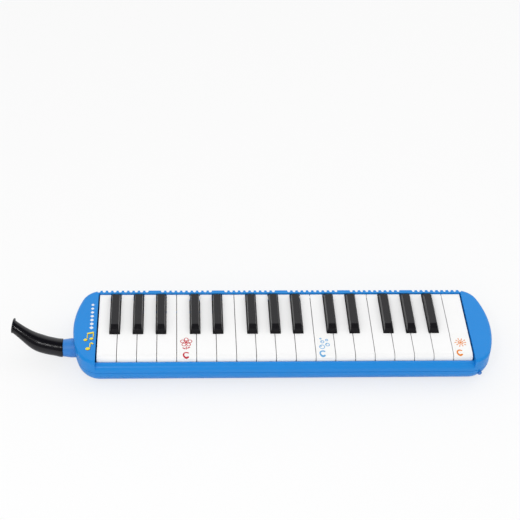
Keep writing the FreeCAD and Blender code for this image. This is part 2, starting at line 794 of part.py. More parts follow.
def rim(low, high):
    """Rim of the chamber as a block with an open middle."""
    outer = box(-ASSEMBLY_HALF, ASSEMBLY_HALF, ASSEMBLY_FRONT, ASSEMBLY_REAR, low, high)
    inner_half = ASSEMBLY_HALF - TRAY_WALL
    inner = box(-inner_half, inner_half, ASSEMBLY_FRONT + TRAY_WALL, ASSEMBLY_REAR - TRAY_WALL, low, high)
    pillars = [post(PILLAR_RADIUS, x, y, low, high) for x, y in chamber_screw_places()]
    holes = [post(SCREW_RADIUS + FIT, x, y, 0, high + 1) for x, y in chamber_screw_places()]
    return fuse([outer.cut(inner)] + pillars).cut(holes)


def chamber_gasket():
    return rim(TRAY_HIGH, GASKET_HIGH)


def air_chamber():
    """Tray under the reeds, with the inlet tower on the left and the drain tube on the right."""
    front = PIPE_Y - TOWER_HALF
    rear = PIPE_Y + TOWER_HALF
    wall = TOWER_WALL
    solids = [
        rim(TRAY_LOW, TRAY_HIGH),
        box(-ASSEMBLY_HALF, ASSEMBLY_HALF, ASSEMBLY_FRONT, ASSEMBLY_REAR, TRAY_LOW, TRAY_LOW + TRAY_FLOOR),
        box(TOWER_FAR, TOWER_NEAR, front, rear, TOWER_LOW, TOWER_HIGH),
        rod(TUBE_RADIUS, drain_point(TUBE_START), drain_point(TUBE_END)),
    ]
    hollows = [
        box(TOWER_FAR + wall, TOWER_NEAR - wall, front + wall, rear - wall, TOWER_LOW + wall, TOWER_HIGH - wall),
        rod(SPIGOT_RADIUS + FIT, on_pipe(TOWER_FAR - 1), on_pipe(TOWER_FAR + wall + 1)),
        rod(TUBE_BORE, drain_point(TUBE_SEAT), drain_point(TUBE_END - wall)),
        rod(STEM_RADIUS + CLEAR, drain_point(TUBE_START - 1), drain_point(TUBE_SEAT + 1)),
    ]
    solids = solids + [box(*duct) for duct in DUCTS]
    hollows = hollows + [box(*duct) for duct in DUCT_HOLLOWS]
    hollows = hollows + [post(SCREW_RADIUS + FIT, x, y, 0, TRAY_HIGH + 1) for x, y in chamber_screw_places()]
    return fuse(solids).cut(hollows)


def chamber_screws():
    screws = []
    for x, y in chamber_screw_places():
        screws.append(screw(x, y, SCREW_HEAD_LOW, SCREW_HEAD_HIGH, SCREW_TOP, SCREW_HEAD_RADIUS, SCREW_RADIUS))
    return Part.makeCompound(screws)


def case_screws():
    screws = []
    for x, y in CASE_SCREW_PLACES:
        screws.append(screw(x, y, CASE_HEAD_LOW, CASE_HEAD_HIGH, CASE_SCREW_TOP, CASE_HEAD_RADIUS, CASE_SCREW_RADIUS))
    return Part.makeCompound(screws)


# ---------------------------------------------------------------- blow pipe and mouthpiece

def on_pipe(x):
    return Vec(x, PIPE_Y, PIPE_Z)


def blow_pipe():
    """Pipe through the left wall, with the tapered collar outside and the mouthpiece's spigot."""
    taper = Part.makeCone(COLLAR_RADIUS, TIP_RADIUS, PIPE_WALL - PIPE_TIP, on_pipe(PIPE_WALL), Vec(-1, 0, 0))
    parts = [
        rod(SPIGOT_RADIUS, on_pipe(PIPE_END), on_pipe(SPIGOT_END)),
        rod(COLLAR_RADIUS, on_pipe(PIPE_SHOULDER), on_pipe(PIPE_WALL)),
        taper,
    ]
    return fuse(parts).cut(rod(PIPE_BORE, on_pipe(PIPE_END + 1), on_pipe(SPIGOT_END - 1)))


def blow_pipe_seal():
    end = TOWER_FAR - PIPE_SEAL_LENGTH
    outer = rod(SPIGOT_RADIUS + PIPE_SEAL_WALL, on_pipe(TOWER_FAR), on_pipe(end))
    return outer.cut(rod(SPIGOT_RADIUS, on_pipe(TOWER_FAR + 1), on_pipe(end - 1)))


def mouth_point(out, rise):
    """Point so far out from the barrel's root and so far along its bend."""
    lean = Vec(0, math.sin(MOUTH_LEAN), math.cos(MOUTH_LEAN))
    return on_pipe(MOUTH_ROOT - out) + lean * rise


def mouth_centre(t):
    """Centre line of the mouthpiece: a cubic curve that leaves the pipe level and bends to the lips."""
    weights = ((1 - t) ** 3, 3 * t * (1 - t) ** 2, 3 * t * t * (1 - t), t ** 3)
    out = sum(weight * point[0] for weight, point in zip(weights, MOUTH_CURVE))
    rise = sum(weight * point[1] for weight, point in zip(weights, MOUTH_CURVE))
    return mouth_point(out, rise)


def mouth_direction(t):
    step = 1e-4
    return (mouth_centre(t + step) - mouth_centre(t - step)).normalize()


def mouth_radius(t):
    """The barrel keeps its width, then necks down towards the lips."""
    s = min(1, max(0, (t - MOUTH_NECK_START) / (MOUTH_NECK_END - MOUTH_NECK_START)))
    ease = s * s * (3 - 2 * s)
    return MOUTH_ROOT_RADIUS + (MOUTH_NECK_RADIUS - MOUTH_ROOT_RADIUS) * ease


def swept(radius_at, start, end):
    """Smooth body through circles along the centre line."""
    rings = []
    for number in range(MOUTH_STATIONS):
        t = start + (end - start) * number / (MOUTH_STATIONS - 1)
        circle = Part.makeCircle(radius_at(t), mouth_centre(t), mouth_direction(t))
        rings.append(Part.Wire(circle))
    return Part.makeLoft(rings, True, False)


def mouthpiece():
    """Curved mouthpiece with a socket for the spigot and a flared lip set across its end."""
    tip = mouth_centre(1)
    way = (mouth_point(math.cos(LIP_TILT), math.sin(LIP_TILT)) - mouth_point(0, 0)).normalize()
    barrel = swept(mouth_radius, 0, MOUTH_BARREL_END)
    beyond = rod(4 * LIP_RADIUS, tip - way * LIP_OVERLAP, tip + way * 4 * LIP_RADIUS)
    lip = rod(LIP_RADIUS, tip - way * LIP_THICK, tip)
    lip = lip.makeFillet(LIP_ROUND, [e for e in lip.Edges if e.Closed])
    body = fuse([barrel.cut(beyond), lip])
    cuts = [
        box(MOUTH_ROOT, PIPE_END, -HALF_DEPTH, HALF_DEPTH, 0, CASE_TOP + PARTING),
        rod(SPIGOT_RADIUS + SOCKET_PLAY, on_pipe(MOUTH_ROOT + 1), on_pipe(MOUTH_ROOT - SOCKET_LENGTH)),
        rod(RING_RADIUS, on_pipe(RING_NEAR), on_pipe(RING_FAR)),
        swept(lambda t: MOUTH_BORE, MOUTH_BORE_START, MOUTH_BORE_END),
    ]
    return body.cut(cuts)


def mouthpiece_seal():
    outer = rod(RING_RADIUS - FIT, on_pipe(RING_NEAR - FIT), on_pipe(RING_FAR + FIT))
    return outer.cut(rod(SPIGOT_RADIUS + RUNNING, on_pipe(RING_NEAR + 1), on_pipe(RING_FAR - 1)))


# ---------------------------------------------------------------- drain valve

def drain_button():
    """Button, shoulder and stem."""
    button = rod(BUTTON_RADIUS, drain_point(BUTTON_OUT), drain_point(BUTTON_SHOULDER))
    outer_edge = [e for e in button.Edges if e.Closed and e.CenterOfMass.y < drain_point(0).y]
    button = button.makeFillet(BUTTON_ROUND, outer_edge)
    shoulder = rod(SHOULDER_RADIUS, drain_point(BUTTON_SHOULDER), drain_point(BUTTON_SHOULDER_END))
    stem = rod(STEM_RADIUS, drain_point(BUTTON_SHOULDER_END), drain_point(STEM_END))
    return fuse([button, shoulder, stem])


def drain_seal():
    """Rubber disc on the stem that shuts the drain tube from inside."""
    start = TUBE_SEAT + PAD_REST_GAP
    disc = rod(SEAL_RADIUS, drain_point(start), drain_point(start + SEAL_THICK))
    return disc.cut(rod(STEM_RADIUS, drain_point(start - 1), drain_point(start + SEAL_THICK + 1)))


def drain_spring():
    """Coil between the shoulder and the drain tube."""
    start = BUTTON_SHOULDER_END + SPRING_MARGIN
    length = TUBE_START - SPRING_MARGIN - start
    helix = Part.makeHelix(SPRING_PITCH, length, SPRING_RADIUS)
    section = Part.Wire(Part.makeCircle(SPRING_WIRE, Vec(SPRING_RADIUS, 0, 0), Vec(0, 1, 0)))
    coil = Part.Wire(helix).makePipeShell([section], True, False)
    turn = FreeCAD.Rotation(Vec(0, 0, 1), drain_point(1) - drain_point(0))
    coil.Placement = FreeCAD.Placement(drain_point(start), turn)
    return coil


# ---------------------------------------------------------------- write every piece

for name, index, middle in keyboard():
    if index is None:
        save(name, black_key(middle))
    else:
        save(name, white_key(index, middle))

for note, index in STICKER_KEYS.items():
    save("note_sticker_" + note, note_sticker(index))

save("key_axle", key_axle())
save("key_frame", key_frame())
save("key_frame_screws", key_frame_screws())
save("key_springs", key_springs())
save("key_rest_felt", key_rest_felt())
save("reed_block", reed_block())
save("reed_plate_low", reed_plate(-ASSEMBLY_HALF, -PLATE_JOINT_HALF))
save("reed_plate_high", reed_plate(PLATE_JOINT_HALF, ASSEMBLY_HALF))
save("reeds", reeds())
save("reed_rivets", reed_rivets())
save("chamber_gasket", chamber_gasket())
save("air_chamber", air_chamber())
save("chamber_screws", chamber_screws())
save("blow_pipe", blow_pipe())
save("blow_pipe_seal", blow_pipe_seal())
save("mouthpiece", mouthpiece())
save("mouthpiece_seal", mouthpiece_seal())
save("drain_button", drain_button())
save("drain_seal", drain_seal())
save("drain_spring", drain_spring())
save("case_screws", case_screws())
save("upper_case", upper_case())
save("lower_case", lower_case())
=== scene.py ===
# %% [markdown]
# # A 32-key melodica
# A melodica is a small keyboard that is blown like a flute. Air goes through a mouthpiece into a chamber,
# and each pressed key lifts a felt pad off the hole of one brass reed.
# This lesson puts the looks round a finished CAD model: first the camera and the light, then one
# material for each real finish, and then the pieces that are modelled here.

# %% Load the CAD model as a fixed frame
import math
import bpy
from mathutils import Matrix, Vector


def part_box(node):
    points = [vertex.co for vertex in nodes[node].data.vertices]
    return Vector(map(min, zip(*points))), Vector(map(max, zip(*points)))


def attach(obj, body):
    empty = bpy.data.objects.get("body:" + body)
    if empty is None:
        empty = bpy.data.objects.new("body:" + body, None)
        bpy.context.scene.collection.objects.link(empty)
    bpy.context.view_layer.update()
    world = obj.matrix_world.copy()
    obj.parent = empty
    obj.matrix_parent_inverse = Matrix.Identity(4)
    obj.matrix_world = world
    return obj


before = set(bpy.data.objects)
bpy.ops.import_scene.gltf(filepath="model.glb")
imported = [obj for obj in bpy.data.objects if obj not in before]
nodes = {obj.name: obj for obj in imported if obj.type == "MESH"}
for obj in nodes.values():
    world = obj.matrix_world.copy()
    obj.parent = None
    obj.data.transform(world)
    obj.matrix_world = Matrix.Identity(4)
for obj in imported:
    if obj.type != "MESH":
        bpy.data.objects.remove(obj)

scene = bpy.context.scene
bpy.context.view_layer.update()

# %% [markdown]
# Blender works in metres and in linear colour, but a maker thinks in millimetres and picks colours as
# sRGB hex values. One value and one helper translate, so that the sizes of pieces read as on a drawing.

# %% Millimetres and colours
MM = 0.001


def linear(hex_colour):
    """Linear RGBA of an sRGB hex colour such as #3D8CDB."""
    values = []
    for start in (1, 3, 5):
        share = int(hex_colour[start:start + 2], 16) / 255
        values.append(share / 12.92 if share <= 0.04045 else ((share + 0.055) / 1.055) ** 2.4)
    return (*values, 1.0)


print("mid grey in linear light:", round(linear("#808080")[0], 3))

# %% [markdown]
# ## The camera
# The view is from in front and above through a long lens, which keeps the keys nearly parallel. A 90 mm
# lens about 1.3 m away gives that. The camera is built from its own three axes: where it looks, what is
# right and what is up, so no tracking constraint is needed.

# %% Camera
LENS_LENGTH = 90
SENSOR_WIDTH = 36
CAMERA_PLACE = Vector((-108.98, -917.15, 963.36)) * MM
CAMERA_DOWN = math.radians(42.393)
CAMERA_YAW = math.radians(5.040)
CAMERA_ROLL = math.radians(3.385)

forward = Vector((math.sin(CAMERA_YAW) * math.cos(CAMERA_DOWN),
                  math.cos(CAMERA_YAW) * math.cos(CAMERA_DOWN),
                  -math.sin(CAMERA_DOWN)))
level_right = forward.cross(Vector((0, 0, 1))).normalized()
level_up = level_right.cross(forward)
right = level_right * math.cos(CAMERA_ROLL) + level_up * math.sin(CAMERA_ROLL)
up = level_up * math.cos(CAMERA_ROLL) - level_right * math.sin(CAMERA_ROLL)

lens = bpy.data.cameras.new("camera")
lens.lens = LENS_LENGTH
lens.sensor_width = SENSOR_WIDTH
camera = bpy.data.objects.new("camera", lens)
camera.matrix_world = Matrix.Translation(CAMERA_PLACE) @ Matrix((right, up, -forward)).transposed().to_4x4()
scene.collection.objects.link(camera)
scene.camera = camera
print("camera distance in mm:", round(CAMERA_PLACE.length / MM))

# %% [markdown]
# ## The node helper
# The sky and every material below are small graphs of shader nodes. One function adds a node, sets its
# values and links its inputs, so each recipe reads as a list of steps.

# %% Node helper
def add(tree, kind, links=None, **values):
    """Adds a node, sets its properties and input values, and links its inputs to other sockets."""
    node = tree.nodes.new("ShaderNode" + kind)
    for key, value in values.items():
        if hasattr(node, key):
            setattr(node, key, value)
        else:
            node.inputs[key.replace("_", " ")].default_value = value
    for key, socket in (links or {}).items():
        tree.links.new(socket, node.inputs[key])
    return node


print("node helper ready")

# %% [markdown]
# ## Light
# A product table stands in a pale tent that lights it evenly from all sides. The camera sees the tent at
# full white. Glossy and clear pieces see the room as it really is, because reflections draw a glossy
# shape: a bright panel behind the table, seen by every flat top, and dark walls, ceiling and front, seen
# by bevels and sides. The light that falls on the object is set so that a colour looks about as written.

# %% World
TENT_LEVEL = 0.79
PANEL_LEVEL = 1.25
DARK_WALL = 0.10
PANEL_FOOT, PANEL_FULL = 0.25, 0.6
CEILING_START, CEILING_FULL = 0.78, 0.94

scene.view_settings.view_transform = "Standard"
world = bpy.data.worlds.new("studio")
scene.world = world
world.use_nodes = True
sky_tree = world.node_tree
sky = sky_tree.nodes["Background"]
sky.inputs["Color"].default_value = linear("#FFFFFF")
direction = add(sky_tree, "SeparateXYZ", {0: add(sky_tree, "TexCoord").outputs["Generated"]})
behind = add(sky_tree, "MapRange", {"Value": direction.outputs["Y"]},
             From_Min=PANEL_FOOT, From_Max=PANEL_FULL, To_Min=DARK_WALL)
below_ceiling = add(sky_tree, "MapRange", {"Value": direction.outputs["Z"]},
                    From_Min=CEILING_START, From_Max=CEILING_FULL, To_Min=PANEL_LEVEL, To_Max=DARK_WALL)
panel = add(sky_tree, "Math", {0: behind.outputs["Result"], 1: below_ceiling.outputs["Result"]},
            operation="MULTIPLY")
ray = add(sky_tree, "LightPath")
mirrored = add(sky_tree, "Math", {0: ray.outputs["Is Transmission Ray"], 1: ray.outputs["Is Glossy Ray"]},
               operation="MAXIMUM")
level = add(sky_tree, "MapRange", {"Value": mirrored.outputs[0], "To Max": panel.outputs[0]},
            To_Min=TENT_LEVEL)
shown = add(sky_tree, "Math", {0: level.outputs["Result"], 1: ray.outputs["Is Camera Ray"]},
            operation="MAXIMUM")
sky_tree.links.new(shown.outputs[0], sky.inputs["Strength"])
print("tent level:", TENT_LEVEL, "dark wall:", DARK_WALL)

# %% [markdown]
# Three square area lamps add direction. The key light stands beside the camera and is wide, so its shadows
# stay faint. The fill light comes from behind on the right. Both are hidden from reflections, which show the
# room alone. The spark light is only as wide as a hand is long: it adds little light but leaves a glint on
# each rounded glossy piece.

# %% Lamps
OBJECT_MIDDLE = (0, 0, 0)
BARREL_SIDE = (-0.25, 0, 0)


def soft_box(name, place, aim, size, power, in_gloss):
    """Square area lamp at a place, facing a point, in metres and watts; in_gloss lets reflections show it."""
    lamp = bpy.data.lights.new(name, "AREA")
    lamp.size = size
    lamp.energy = power
    lamp_object = bpy.data.objects.new(name, lamp)
    lamp_object.location = place
    lamp_object.rotation_euler = (Vector(aim) - Vector(place)).to_track_quat("-Z", "Y").to_euler()
    lamp_object.visible_glossy = in_gloss
    scene.collection.objects.link(lamp_object)


soft_box("key_light", (-0.35, -1.0, 1.25), OBJECT_MIDDLE, size=1.5, power=4.8, in_gloss=False)
soft_box("fill_light", (0.9, 0.3, 1.3), OBJECT_MIDDLE, size=1.2, power=2.8, in_gloss=False)
soft_box("spark_light", (-0.385, -0.830, 1.035), BARREL_SIDE, size=0.16, power=1.9, in_gloss=True)

# %% [markdown]
# ## Materials
# A recipe starts the same way each time: a name, a colour and the shader values that are the same all
# over. Then it adds what the making of the real part leaves behind, scaled in real millimetres.
# The patterns read Object coordinates, which are metres from the model's own origin.

# %% Material helpers
def start_material(name, base, roughness, ior=None, metallic=0.0):
    """A new material with the values that are the same all over, and the coordinates its patterns read."""
    material = bpy.data.materials.new(name)
    material.use_nodes = True
    shader = material.node_tree.nodes["Principled BSDF"]
    shader.inputs["Base Color"].default_value = linear(base)
    shader.inputs["Roughness"].default_value = roughness
    shader.inputs["Metallic"].default_value = metallic
    if ior is not None:
        shader.inputs["IOR"].default_value = ior
    add(material.node_tree, "TexCoord")
    return material


def opened(material):
    """What a recipe works on: the tree, its main shader and the Object coordinates in metres."""
    tree = material.node_tree
    return tree, tree.nodes["Principled BSDF"], tree.nodes["Texture Coordinate"].outputs["Object"]


def give(material, *node_names):
    """Puts a material on CAD nodes, in the slots that they already have."""
    for node_name in node_names:
        for material_slot in nodes[node_name].material_slots:
            material_slot.material = material
    print(material.name, "on", len(node_names), "nodes")


print("helpers ready")

# %% [markdown]
# ### Moulded plastic
# Nearly every visible part is injection moulded, and all such parts share three traits. The colour drifts
# slowly where the melt cooled at its own pace, the gloss changes in patches where the mould was polished by
# hand, and the whole face carries the fine skin of the steel.

# %% Moulded plastic recipe
DRIFT_SIZE = 45 * MM
POLISH_PATCH = 7 * MM
SKIN_STRENGTH = 0.6


def moulded(name, base, deep, roughness, ior, skin_mm, relief_mm, gloss_spread=0.05, shine=0.5):
    """Injection-moulded plastic; skin_mm is the size of the mould's grain and relief_mm its height."""
    material = start_material(name, base, roughness, ior)
    tree, shader, place = opened(material)
    shader.inputs["Specular IOR Level"].default_value = shine
    drift = add(tree, "TexNoise", {"Vector": place}, Scale=1 / DRIFT_SIZE, Detail=3.0)
    tone = add(tree, "MixRGB", {"Fac": drift.outputs["Fac"]}, Color1=linear(base), Color2=linear(deep))
    tree.links.new(tone.outputs["Color"], shader.inputs["Base Color"])
    polish = add(tree, "TexNoise", {"Vector": place}, Scale=1 / POLISH_PATCH, Detail=4.0)
    gloss = add(tree, "MapRange", {"Value": polish.outputs["Fac"]}, From_Min=0.3, From_Max=0.7,
                To_Min=roughness - gloss_spread / 2, To_Max=roughness + gloss_spread)
    tree.links.new(gloss.outputs["Result"], shader.inputs["Roughness"])
    skin = add(tree, "TexNoise", {"Vector": place}, Scale=1 / (skin_mm * MM), Detail=2.0)
    relief = add(tree, "Bump", {"Height": skin.outputs["Fac"]},
                 Strength=SKIN_STRENGTH, Distance=relief_mm * MM)
    tree.links.new(relief.outputs["Normal"], shader.inputs["Normal"])
    return material


print("pattern sizes in mm:", round(DRIFT_SIZE / MM), "and", round(POLISH_PATCH / MM))

# %% [markdown]
# ### Case and pipe
# The case is ABS, moulded in a polished steel mould and coloured right through in a sky blue.
# It is glossy but not a mirror: the skin has a faint grain of just over half a millimetre, drawn a little
# coarser than real so that it shows. The pipe and the drain button are moulded apart, in a duller blue.

# %% Blue plastics
case_blue = moulded("moulded_abs_sky_blue", "#1288DA", "#0F83D5", roughness=0.30, ior=1.54,
                    skin_mm=0.6, relief_mm=0.010, shine=0.3)
give(case_blue, "upper_case", "lower_case")

pipe_blue = moulded("moulded_abs_duller_blue", "#2B82D3", "#257BCB", roughness=0.38, ior=1.52,
                    skin_mm=0.6, relief_mm=0.015)
give(pipe_blue, "blow_pipe")

button_blue = moulded("moulded_abs_button_blue", "#2F78C8", "#2A6DB9", roughness=0.34, ior=1.52,
                      skin_mm=0.5, relief_mm=0.012)
give(button_blue, "drain_button")

# %% [markdown]
# ### White keys
# The white keys are polished ABS, as bright as the moulder can make them, and they carry a hard gloss.
# Fingers have polished them along their length, so a second, stretched pattern adds faint wipes of gloss.

# %% White key plastic
WIPE_WIDTH = 1.2 * MM
WIPE_LENGTH = 25 * MM

key_white = moulded("polished_abs_white", "#F8F8F8", "#F3F3F3", roughness=0.16, ior=1.54,
                    skin_mm=0.9, relief_mm=0.004)
tree, shader, place = opened(key_white)
stretched = add(tree, "Mapping", {"Vector": place}, Scale=(1 / WIPE_WIDTH, 1 / WIPE_LENGTH, 1 / WIPE_WIDTH))
wipes = add(tree, "TexNoise", {"Vector": stretched.outputs["Vector"]}, Scale=1.0, Detail=2.0)
wiped = add(tree, "MapRange", {"Value": wipes.outputs["Fac"]},
            From_Min=0.35, From_Max=0.65, To_Min=0.13, To_Max=0.20)
tree.links.new(wiped.outputs["Result"], shader.inputs["Roughness"])
give(key_white, *[name for name in nodes if name.startswith("key_") and name[5:].isdigit()])

# %% [markdown]
# ### Black keys
# The black keys are a charcoal ABS with a satin face. Their mould was ground lengthwise, so they show
# fine lines that run from front to back, a few tenths of a millimetre apart.

# %% Black key plastic
LINE_WIDTH = 0.45 * MM
LINE_LENGTH = 30 * MM
LINE_DEPTH = 0.02 * MM

key_black = moulded("satin_abs_charcoal", "#161318", "#19161C", roughness=0.30, ior=1.50,
                    skin_mm=0.5, relief_mm=0.006, shine=0.3)
tree, shader, place = opened(key_black)
stretched = add(tree, "Mapping", {"Vector": place}, Scale=(1 / LINE_WIDTH, 1 / LINE_LENGTH, 1 / LINE_WIDTH))
lines = add(tree, "TexNoise", {"Vector": stretched.outputs["Vector"]}, Scale=1.0, Detail=3.0)
grey = add(tree, "MixRGB", {"Fac": lines.outputs["Fac"]}, Color1=linear("#111013"), Color2=linear("#1D1C20"))
ground = add(tree, "Bump", {"Height": lines.outputs["Fac"]}, Strength=0.7, Distance=LINE_DEPTH)
satin = add(tree, "MapRange", {"Value": lines.outputs["Fac"]},
            From_Min=0.3, From_Max=0.7, To_Min=0.24, To_Max=0.38)
tree.links.new(grey.outputs["Color"], shader.inputs["Base Color"])
tree.links.new(ground.outputs["Normal"], shader.inputs["Normal"])
tree.links.new(satin.outputs["Result"], shader.inputs["Roughness"])
give(key_black, *[name for name in nodes if name.endswith("_sharp")])

# %% [markdown]
# ### Mouthpiece
# The mouthpiece is a deep black ABS with a smooth, even polish, because it goes between the lips.
# The polish gathers the small lamp into a glint that runs along the barrel.

# %% Mouthpiece plastic
mouth_black = moulded("polished_abs_black", "#0C0B10", "#100F15", roughness=0.24, ior=1.54,
                      skin_mm=1.4, relief_mm=0.002, gloss_spread=0.03, shine=0.35)
give(mouth_black, "mouthpiece")

# %% [markdown]
# ### Hidden plastics
# The key frame is a dark glass-filled nylon: short glass fibres show as pale flecks in a dull face.
# The reed block and the air chamber are ivory ABS, moulded in a plain, slightly rough mould.

# %% Frame and chamber plastics
FLECK_SPACING = 1.1 * MM

frame_grey = moulded("glass_filled_nylon", "#3D3D41", "#35353A", roughness=0.55, ior=1.53,
                     skin_mm=0.4, relief_mm=0.030)
tree, shader, place = opened(frame_grey)
fibres = add(tree, "TexVoronoi", {"Vector": place}, Scale=1 / FLECK_SPACING)
fleck = add(tree, "MapRange", {"Value": fibres.outputs["Distance"]}, From_Min=0.05, From_Max=0.16)
flecked = add(tree, "MixRGB", {"Fac": fleck.outputs["Result"]},
              Color1=linear("#77777C"), Color2=linear("#3B3B3F"))
tree.links.new(flecked.outputs["Color"], shader.inputs["Base Color"])
give(frame_grey, "key_frame")

ivory = moulded("moulded_abs_ivory", "#D9D3C2", "#CFC8B5", roughness=0.48, ior=1.53,
                skin_mm=0.5, relief_mm=0.025)
give(ivory, "reed_block", "air_chamber")

# %% [markdown]
# ### Metals
# A metal's look comes from the way it was worked. Rolled brass sheet and rolled spring strip carry fine
# lines along the rolling direction, and a ground rod carries lines around it. One recipe draws lines of
# a given width and length along the three axes. Metals keep the shader's own IOR.

# %% Worked metals
TARNISH_PATCH = 9 * MM
LINE_RELIEF = 0.01 * MM


def worked_metal(name, bright, dull, roughness, line_mm):
    """Metal with lines left by its working; line_mm is the pattern's size along x, y and z."""
    material = start_material(name, bright, roughness, metallic=1.0)
    tree, shader, place = opened(material)
    stretched = add(tree, "Mapping", {"Vector": place}, Scale=tuple(1 / (size * MM) for size in line_mm))
    lines = add(tree, "TexNoise", {"Vector": stretched.outputs["Vector"]}, Scale=1.0, Detail=3.0)
    tarnish = add(tree, "TexNoise", {"Vector": place}, Scale=1 / TARNISH_PATCH, Detail=4.0)
    blotch = add(tree, "MapRange", {"Value": tarnish.outputs["Fac"]}, From_Min=0.35, From_Max=0.75)
    tone = add(tree, "MixRGB", {"Fac": blotch.outputs["Result"]}, Color1=linear(bright), Color2=linear(dull))
    gloss = add(tree, "MapRange", {"Value": lines.outputs["Fac"]}, From_Min=0.3, From_Max=0.7,
                To_Min=roughness - 0.06, To_Max=roughness + 0.10)
    relief = add(tree, "Bump", {"Height": lines.outputs["Fac"]}, Strength=0.5, Distance=LINE_RELIEF)
    tree.links.new(tone.outputs["Color"], shader.inputs["Base Color"])
    tree.links.new(gloss.outputs["Result"], shader.inputs["Roughness"])
    tree.links.new(relief.outputs["Normal"], shader.inputs["Normal"])
    return material


give(worked_metal("ground_steel_rod", "#C4C6C9", "#A9ABAF", roughness=0.24, line_mm=(0.3, 6, 6)),
     "key_axle")
give(worked_metal("rolled_spring_steel", "#A8ABB0", "#8C8F95", roughness=0.32, line_mm=(12, 0.3, 0.3)),
     "key_springs", "drain_spring")
give(worked_metal("zinc_plated_steel", "#B9BBBC", "#9DA09C", roughness=0.36, line_mm=(0.8, 0.8, 3)),
     "case_screws", "key_frame_screws", "chamber_screws")
give(worked_metal("rolled_brass_sheet", "#DDBB6A", "#C9A14C", roughness=0.28, line_mm=(20, 0.35, 0.35)),
     "reed_plate_low", "reed_plate_high")
give(worked_metal("filed_reed_brass", "#E4C477", "#D0AC5A", roughness=0.22, line_mm=(0.35, 9, 0.35)),
     "reeds", "reed_rivets")

# %% [markdown]
# ### Felt and rubber
# The keys come down on a strip of pressed wool felt. Its fibres lie in all directions, so a fine noise
# breaks up both colour and surface, and a little sheen stands in for the fuzz.
# The gasket and the seals are black rubber with the pale bloom that new rubber has.

# %% Felt and rubber
FIBRE_SIZE = 0.5 * MM
FUZZ_HEIGHT = 0.15 * MM
BLOOM_PATCH = 3 * MM
BLOOM_RELIEF = 0.03 * MM

felt = start_material("pressed_wool_felt", "#7C1F2A", roughness=0.95, ior=1.45)
tree, shader, place = opened(felt)
shader.inputs["Sheen Weight"].default_value = 0.4
shader.inputs["Sheen Roughness"].default_value = 0.5
fibre = add(tree, "TexNoise", {"Vector": place}, Scale=1 / FIBRE_SIZE, Detail=6.0)
wool = add(tree, "MixRGB", {"Fac": fibre.outputs["Fac"]}, Color1=linear("#5E141E"), Color2=linear("#96303B"))
fuzz = add(tree, "Bump", {"Height": fibre.outputs["Fac"]}, Strength=0.9, Distance=FUZZ_HEIGHT)
tree.links.new(wool.outputs["Color"], shader.inputs["Base Color"])
tree.links.new(fuzz.outputs["Normal"], shader.inputs["Normal"])
give(felt, "key_rest_felt")

rubber = start_material("moulded_black_rubber", "#1B1B1B", roughness=0.7, ior=1.52)
tree, shader, place = opened(rubber)
bloom = add(tree, "TexNoise", {"Vector": place}, Scale=1 / BLOOM_PATCH, Detail=5.0)
dusty = add(tree, "MixRGB", {"Fac": bloom.outputs["Fac"]}, Color1=linear("#141414"), Color2=linear("#2B2B2A"))
grain = add(tree, "Bump", {"Height": bloom.outputs["Fac"]}, Strength=0.5, Distance=BLOOM_RELIEF)
tree.links.new(dusty.outputs["Color"], shader.inputs["Base Color"])
tree.links.new(grain.outputs["Normal"], shader.inputs["Normal"])
give(rubber, "chamber_gasket", "blow_pipe_seal", "mouthpiece_seal", "drain_seal")

# %% [markdown]
# ### Sticker film
# Three white keys carry a sticker that marks the note C for a beginner. The film itself is white vinyl
# with a gloss like the key's, so all that shows of it is its edge and a slightly calmer face.

# %% Sticker film
STICKERS = {"note_sticker_c4": "key_c4", "note_sticker_c5": "key_c5", "note_sticker_c6": "key_c6"}

film = moulded("white_vinyl_film", "#F6F6F5", "#F3F3F2", roughness=0.20, ior=1.50,
               skin_mm=2.5, relief_mm=0.005)
give(film, *STICKERS)

# %% [markdown]
# ## Prints
# The stickers and the left end of the case carry small screen prints. A print is a film of ink, so each one
# is a real thin piece: flat shapes are laid out above the surface, joined, dropped onto it with
# Shrinkwrap, and given the ink's thickness with Solidify. The screen's mesh leaves a faint speckle in the
# colour and the gloss of the ink.

# %% Inks
SCREEN_MESH = 0.3 * MM


def ink(name, base, deep):
    """Screen-printed ink with the speckle of the screen."""
    material = start_material(name, base, roughness=0.35, ior=1.48)
    tree, shader, place = opened(material)
    mesh_marks = add(tree, "TexNoise", {"Vector": place}, Scale=1 / SCREEN_MESH, Detail=2.0)
    speckle = add(tree, "MixRGB", {"Fac": mesh_marks.outputs["Fac"]},
                  Color1=linear(base), Color2=linear(deep))
    gloss = add(tree, "MapRange", {"Value": mesh_marks.outputs["Fac"]}, To_Min=0.28, To_Max=0.45)
    tree.links.new(speckle.outputs["Color"], shader.inputs["Base Color"])
    tree.links.new(gloss.outputs["Result"], shader.inputs["Roughness"])
    return material


red_ink = ink("screen_ink_red", "#CC2036", "#BC162C")
blue_ink = ink("screen_ink_blue", "#62AEE0", "#549FD4")
orange_ink = ink("screen_ink_orange", "#F08A14", "#E27C08")
yellow_ink = ink("screen_ink_yellow", "#F8EA3C", "#E6CC2C")
white_ink = ink("screen_ink_white", "#F2F4F6", "#DFE3E8")
brown_ink = ink("screen_ink_brown", "#5A4A22", "#4A3C1A")
print("inks:", [m.name for m in bpy.data.materials if m.name.startswith("screen_ink")])

# %% [markdown]
# ### Flat shapes
# Every drawing below is built from three flat shapes: a disc, a bar with its corners cut off, and a ring.
# They float well above their place until they are dropped onto the surface beneath.

# %% Flat shapes
ABOVE = 50 * MM
DISC_CORNERS = 28
RING_CORNERS = 44
CUT_SHARE = 0.2


